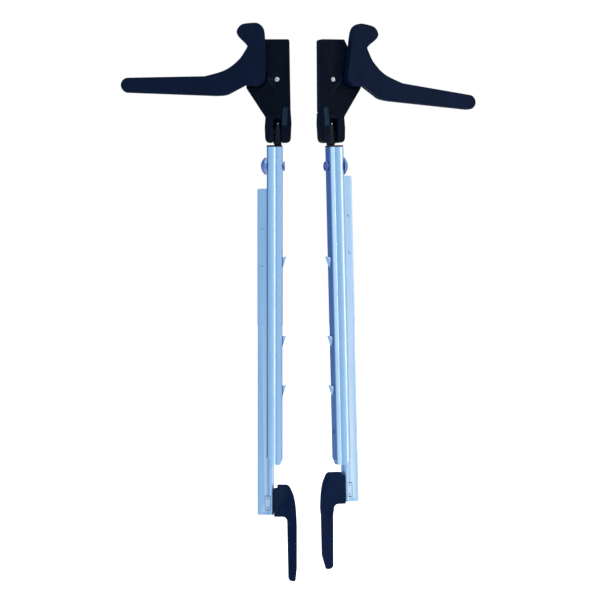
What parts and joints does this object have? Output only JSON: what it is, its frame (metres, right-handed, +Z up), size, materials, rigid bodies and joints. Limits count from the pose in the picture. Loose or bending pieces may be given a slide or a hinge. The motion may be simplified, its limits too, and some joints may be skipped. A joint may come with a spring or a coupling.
{
  "type": "ladder stabilizer",
  "caption": "Mirror-image pair of clip-on ladder stabilizer arms: telescoping steel rail, folding black head with a long swinging lever, and a foot hook that takes a rung.",
  "frame": {"origin": "between the two units, in the plane of the rails' backs, level with the rails' lower ends", "axes": "+Z up along the rails, heads up; the fronts of the units face -Y; +X from the left unit to the right one"},
  "size_m": [0.3923, 0.0789, 0.6135],
  "materials": {
    "rail_steel": "bright zinc-coated steel, satin, with fine lines along its length",
    "slide_steel": "bright zinc-coated steel, satin, with fine lines along its length",
    "anchor_nylon": "matt black moulded nylon",
    "bolt_zinc": "blue-passivated zinc",
    "nut_zinc": "blue-passivated zinc",
    "rod_black": "black oxide steel, slightly worn",
    "pin_bright": "bright ground steel",
    "head_nylon": "black moulded nylon with a fine grain",
    "cover_nylon": "black moulded nylon with a fine grain",
    "screw_zinc": "zinc-plated",
    "spring_steel": "hardened strip, bright",
    "lever_nylon": "black moulded nylon with a fine grain",
    "rivet_zinc": "zinc-plated",
    "foot_nylon": "black moulded nylon with a fine grain"
  },
  "bodies": {
    "left_rail_group": {"left_rail": "rail_steel", "left_anchor_block": "anchor_nylon", "left_carriage_bolt": "bolt_zinc", "left_bolt_washer": "bolt_zinc", "left_bolt_nut": "nut_zinc", "left_swivel_rod": "rod_black", "left_stop_pin": "pin_bright"},
    "left_head_group": {"left_head_body": "head_nylon", "left_head_cover": "cover_nylon", "left_cover_screw_1": "screw_zinc", "left_cover_screw_2": "screw_zinc", "left_cover_screw_3": "screw_zinc", "left_hinge_pin": "rod_black", "left_head_pin": "pin_bright", "left_detent_spring": "spring_steel"},
    "left_lever_group": {"left_lever": "lever_nylon", "left_lever_axle": "bolt_zinc", "left_detent_disc": "spring_steel", "left_axle_nut": "nut_zinc"},
    "left_slide_group": {"left_slide_channel": "slide_steel", "left_catch_spring": "spring_steel", "left_catch_rivet_1": "rivet_zinc", "left_catch_rivet_2": "rivet_zinc", "left_foot_hook": "foot_nylon", "left_foot_clip": "spring_steel"},
    "right_rail_group": {"right_rail": "rail_steel", "right_anchor_block": "anchor_nylon", "right_carriage_bolt": "bolt_zinc", "right_bolt_washer": "bolt_zinc", "right_bolt_nut": "nut_zinc", "right_swivel_rod": "rod_black", "right_stop_pin": "pin_bright"},
    "right_head_group": {"right_head_body": "head_nylon", "right_head_cover": "cover_nylon", "right_cover_screw_1": "screw_zinc", "right_cover_screw_2": "screw_zinc", "right_cover_screw_3": "screw_zinc", "right_hinge_pin": "rod_black", "right_head_pin": "pin_bright", "right_detent_spring": "spring_steel"},
    "right_lever_group": {"right_lever": "lever_nylon", "right_lever_axle": "bolt_zinc", "right_detent_disc": "spring_steel", "right_axle_nut": "nut_zinc"},
    "right_slide_group": {"right_slide_channel": "slide_steel", "right_catch_spring": "spring_steel", "right_catch_rivet_1": "rivet_zinc", "right_catch_rivet_2": "rivet_zinc", "right_foot_hook": "foot_nylon", "right_foot_clip": "spring_steel"}
  },
  "joints": [
    {"name": "pair_spacing", "type": "slide", "parent": "left_rail_group", "child": "right_rail_group", "axis": [1, 0, 0], "range_m": [0, 0.35]},
    {"name": "left_head_fold", "type": "hinge", "parent": "left_rail_group", "child": "left_head_group", "pos_m": [-0.0243, -0.00565, 0.366], "axis": [-1, 0, 0], "range_deg": [0, 90]},
    {"name": "left_lever_turn", "type": "hinge", "parent": "left_head_group", "child": "left_lever_group", "pos_m": [-0.0487, -0.01, 0.4268], "axis": [0, -1, 0], "range_deg": [-20, 85]},
    {"name": "left_slide_travel", "type": "slide", "parent": "left_rail_group", "child": "left_slide_group", "axis": [0, 0, 1], "range_m": [-0.142, 0.0143]},
    {"name": "right_head_fold", "type": "hinge", "parent": "right_rail_group", "child": "right_head_group", "pos_m": [0.03371, -0.00663, 0.36588], "axis": [-0.9133, -0.4067, -0.0207], "range_deg": [0, 90]},
    {"name": "right_lever_turn", "type": "hinge", "parent": "right_head_group", "child": "right_lever_group", "pos_m": [0.05638, -0.00068, 0.42721], "axis": [-0.4066, 0.9135, -0.0092], "range_deg": [-27.5, 77.5]},
    {"name": "right_slide_travel", "type": "slide", "parent": "right_rail_group", "child": "right_slide_group", "axis": [-0.0227, 0, 0.9997], "range_m": [-0.1563, 0]}
  ]
}
